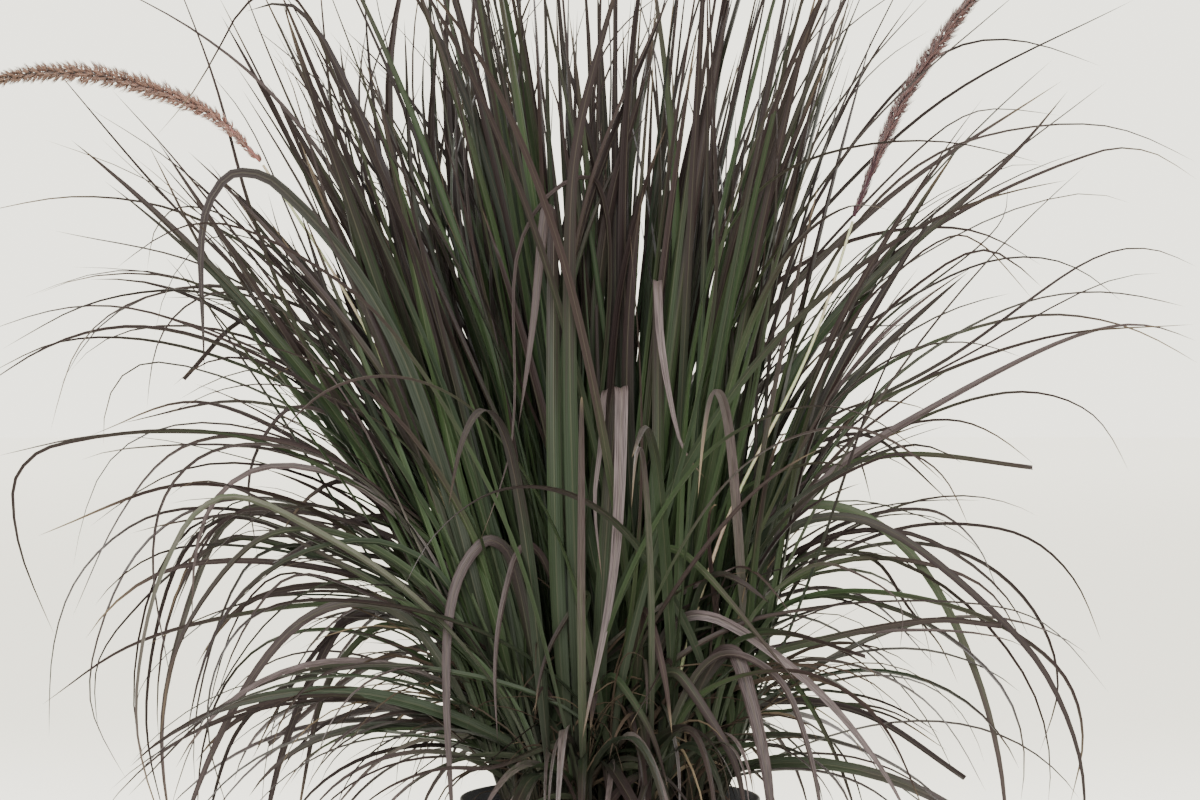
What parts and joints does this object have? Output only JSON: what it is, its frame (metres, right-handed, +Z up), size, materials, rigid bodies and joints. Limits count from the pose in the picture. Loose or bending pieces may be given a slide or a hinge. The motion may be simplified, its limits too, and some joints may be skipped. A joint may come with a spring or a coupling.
{
  "type": "potted ornamental grass clump",
  "caption": "Fountain-shaped clump of arching purple-green grass blades with two bristly plumes, in a round black nursery pot.",
  "frame": {"origin": "centre of the pot's flat base, on the surface that it stands on", "axes": "+Z up out of the pot, +X to the right and +Y away from someone facing the front of the clump"},
  "size_m": [0.967, 0.9197, 0.9254],
  "materials": {
    "moulded_plastic": "satin",
    "potting_mix": "crumbly, matte",
    "flower_stem": "smooth, satin",
    "plume_bristle": "soft bristles",
    "grass_blade": "ribbed, satin"
  },
  "bodies": {
    "root": {"pot": "moulded_plastic", "potting_mix": "potting_mix", "flower_stem_left": "flower_stem", "flower_stem_right": "flower_stem", "plume_left": "plume_bristle", "plume_right": "plume_bristle", "shoot_01": "grass_blade", "shoot_02": "grass_blade", "shoot_03": "grass_blade", "shoot_04": "grass_blade", "shoot_05": "grass_blade", "shoot_06": "grass_blade", "shoot_07": "grass_blade", "shoot_08": "grass_blade", "shoot_09": "grass_blade", "shoot_10": "grass_blade", "shoot_11": "grass_blade", "shoot_12": "grass_blade", "shoot_13": "grass_blade", "shoot_14": "grass_blade", "shoot_15": "grass_blade", "shoot_16": "grass_blade", "shoot_17": "grass_blade", "shoot_18": "grass_blade", "shoot_19": "grass_blade", "shoot_20": "grass_blade", "shoot_21": "grass_blade", "shoot_22": "grass_blade", "shoot_23": "grass_blade", "shoot_24": "grass_blade", "shoot_25": "grass_blade", "shoot_26": "grass_blade", "shoot_27": "grass_blade", "shoot_28": "grass_blade", "shoot_29": "grass_blade", "shoot_30": "grass_blade", "shoot_31": "grass_blade", "shoot_32": "grass_blade", "shoot_33": "grass_blade", "shoot_34": "grass_blade", "shoot_35": "grass_blade", "shoot_36": "grass_blade", "shoot_37": "grass_blade", "shoot_38": "grass_blade", "shoot_39": "grass_blade", "shoot_40": "grass_blade", "shoot_41": "grass_blade", "shoot_42": "grass_blade", "shoot_43": "grass_blade", "shoot_44": "grass_blade", "shoot_45": "grass_blade", "shoot_46": "grass_blade", "shoot_47": "grass_blade", "shoot_48": "grass_blade"}
  },
  "joints": []
}
